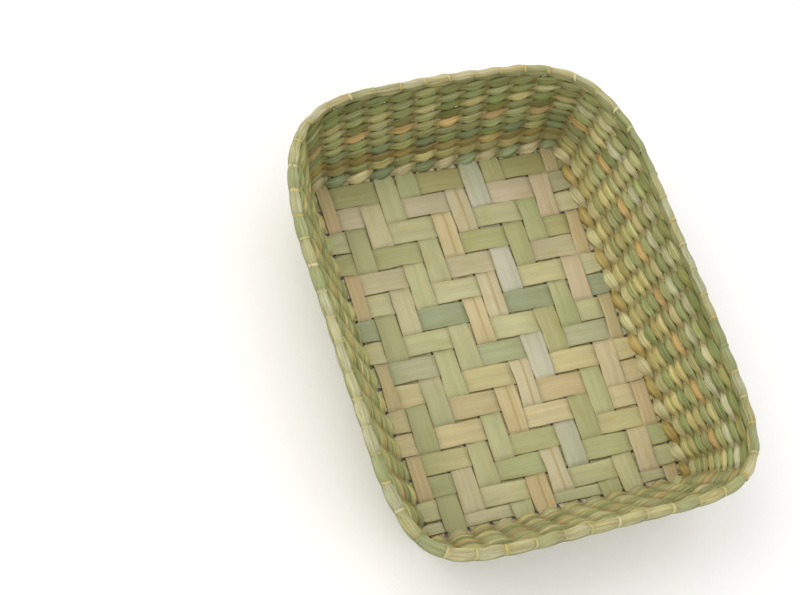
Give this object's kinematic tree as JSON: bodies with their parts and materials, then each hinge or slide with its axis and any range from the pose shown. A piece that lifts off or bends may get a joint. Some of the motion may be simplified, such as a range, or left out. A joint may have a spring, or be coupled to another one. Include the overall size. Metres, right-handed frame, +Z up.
{
  "type": "bread basket",
  "caption": "Shallow open rectangular basket hand woven from dried leaf: twill floor, twined flared walls, lashed rim.",
  "frame": {"origin": "on the table, under the middle of the rim", "axes": "+X along the length, +Y across, +Z up"},
  "size_m": [0.3092, 0.2412, 0.075],
  "materials": {
    "floor_leaf": "matt dried rush leaf, fine lengthwise fibres",
    "wall_leaf_pale": "matt dried rush leaf, fine lengthwise fibres",
    "wall_leaf_green": "matt dried rush leaf, fine lengthwise fibres",
    "foot_leaf": "matt dried rush leaf, fine lengthwise fibres",
    "rim_leaf": "matt dried rush leaf, fine lengthwise fibres",
    "lashing_leaf": "matt dried rush leaf, fine lengthwise fibres"
  },
  "bodies": {
    "root": {"course_01_strand_a": "wall_leaf_pale", "course_01_strand_b": "wall_leaf_green", "course_02_strand_a": "wall_leaf_pale", "course_02_strand_b": "wall_leaf_green", "course_03_strand_a": "wall_leaf_pale", "course_03_strand_b": "wall_leaf_green", "course_04_strand_a": "wall_leaf_pale", "course_04_strand_b": "wall_leaf_green", "course_05_strand_a": "wall_leaf_pale", "course_05_strand_b": "wall_leaf_green", "course_06_strand_a": "wall_leaf_pale", "course_06_strand_b": "wall_leaf_green", "course_07_strand_a": "wall_leaf_pale", "course_07_strand_b": "wall_leaf_green", "course_08_strand_a": "wall_leaf_pale", "course_08_strand_b": "wall_leaf_green", "course_09_strand_a": "wall_leaf_pale", "course_09_strand_b": "wall_leaf_green", "cross_strip_01": "floor_leaf", "cross_strip_02": "floor_leaf", "cross_strip_03": "floor_leaf", "cross_strip_04": "floor_leaf", "cross_strip_05": "floor_leaf", "cross_strip_06": "floor_leaf", "cross_strip_07": "floor_leaf", "cross_strip_08": "floor_leaf", "cross_strip_09": "floor_leaf", "cross_strip_10": "floor_leaf", "cross_strip_11": "floor_leaf", "cross_strip_12": "floor_leaf", "cross_strip_13": "floor_leaf", "cross_strip_14": "floor_leaf", "cross_strip_15": "floor_leaf", "cross_strip_16": "floor_leaf", "foot_strand_a": "foot_leaf", "foot_strand_b": "foot_leaf", "long_strip_01": "floor_leaf", "long_strip_02": "floor_leaf", "long_strip_03": "floor_leaf", "long_strip_04": "floor_leaf", "long_strip_05": "floor_leaf", "long_strip_06": "floor_leaf", "long_strip_07": "floor_leaf", "long_strip_08": "floor_leaf", "long_strip_09": "floor_leaf", "long_strip_10": "floor_leaf", "long_strip_11": "floor_leaf", "long_strip_12": "floor_leaf", "rim_bundle": "rim_leaf", "rim_lashing": "lashing_leaf"}
  },
  "joints": []
}
